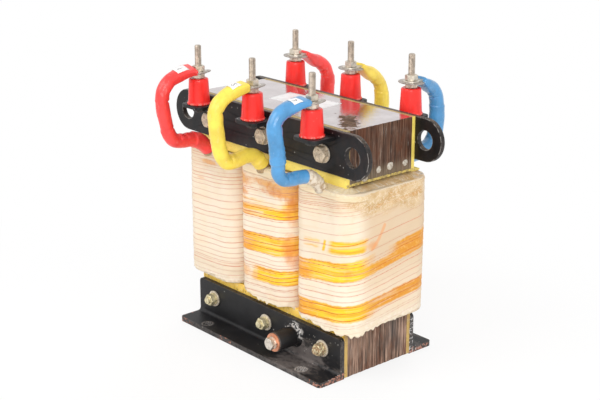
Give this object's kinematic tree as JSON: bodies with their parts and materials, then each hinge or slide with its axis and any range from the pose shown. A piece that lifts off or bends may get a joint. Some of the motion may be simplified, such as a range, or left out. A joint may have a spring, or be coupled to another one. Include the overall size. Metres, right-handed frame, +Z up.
{
  "type": "three phase line reactor",
  "caption": "Line reactor with a laminated core, taped coils, coloured sleeved leads to stud terminals on red insulators, lifting bars and foot angles.",
  "frame": {"origin": "on the ground under the middle of the core", "axes": "+X along the row of coils, +Y to the back, +Z up; the earth boss is on the front, at -Y"},
  "size_m": [0.34, 0.2749, 0.352],
  "materials": {
    "lamination_steel": "varnished electrical steel laminations, brown at the cut edges",
    "insulating_board": "yellow insulating board with a satin surface",
    "coil_tube": "varnished pressboard",
    "copper": "varnished copper winding wire",
    "coil_tape": "cream woven tape with thread lines, stained by varnish in bands",
    "black_paint": "semi gloss black paint, chipped and scuffed at the edges",
    "red_resin": "glossy red moulded resin",
    "insert_brass": "plain brass",
    "red_sleeve": "red shrunk sleeving",
    "yellow_sleeve": "yellow shrunk sleeving",
    "blue_sleeve": "blue shrunk sleeving",
    "tinned_copper": "tinned copper",
    "earth_copper": "plain copper",
    "bolt_tube": "resin bonded paper tube",
    "terminal_zinc": "dull zinc plate",
    "clamp_zinc": "yellowish zinc plate with rust in the corners"
  },
  "bodies": {
    "root": {"e_core": "lamination_steel", "i_yoke": "lamination_steel", "air_gap_sheet": "insulating_board", "coil_tube_left": "coil_tube", "coil_tube_middle": "coil_tube", "coil_tube_right": "coil_tube", "winding_left": "copper", "winding_middle": "copper", "winding_right": "copper", "tape_left": "coil_tape", "tape_middle": "coil_tape", "tape_right": "coil_tape", "front_upper_board": "insulating_board", "rear_upper_board": "insulating_board", "front_lower_board": "insulating_board", "rear_lower_board": "insulating_board", "front_clamp_bar": "black_paint", "rear_clamp_bar": "black_paint", "front_tab_left": "black_paint", "front_tab_middle": "black_paint", "front_tab_right": "black_paint", "rear_tab_left": "black_paint", "rear_tab_middle": "black_paint", "rear_tab_right": "black_paint", "front_foot_angle": "black_paint", "rear_foot_angle": "black_paint", "earth_boss": "black_paint", "front_post_left": "red_resin", "front_post_middle": "red_resin", "front_post_right": "red_resin", "rear_post_left": "red_resin", "rear_post_middle": "red_resin", "rear_post_right": "red_resin", "post_inserts": "insert_brass", "post_screws": "terminal_zinc", "terminal_studs": "terminal_zinc", "terminal_lower_nuts": "terminal_zinc", "terminal_washers": "terminal_zinc", "cable_lugs": "tinned_copper", "terminal_upper_nuts": "terminal_zinc", "front_lead_left": "red_sleeve", "front_lead_middle": "yellow_sleeve", "front_lead_right": "blue_sleeve", "rear_lead_left": "red_sleeve", "rear_lead_middle": "yellow_sleeve", "rear_lead_right": "blue_sleeve", "upper_bolts": "clamp_zinc", "upper_washers": "clamp_zinc", "upper_nuts": "clamp_zinc", "upper_bolt_tubes": "bolt_tube", "lower_bolts": "clamp_zinc", "lower_washers": "clamp_zinc", "lower_spring_washers": "clamp_zinc", "lower_nuts": "clamp_zinc", "lower_bolt_tubes": "bolt_tube", "earth_bolt": "clamp_zinc", "earth_spring_washer": "clamp_zinc", "earth_ring": "earth_copper"}
  },
  "joints": []
}
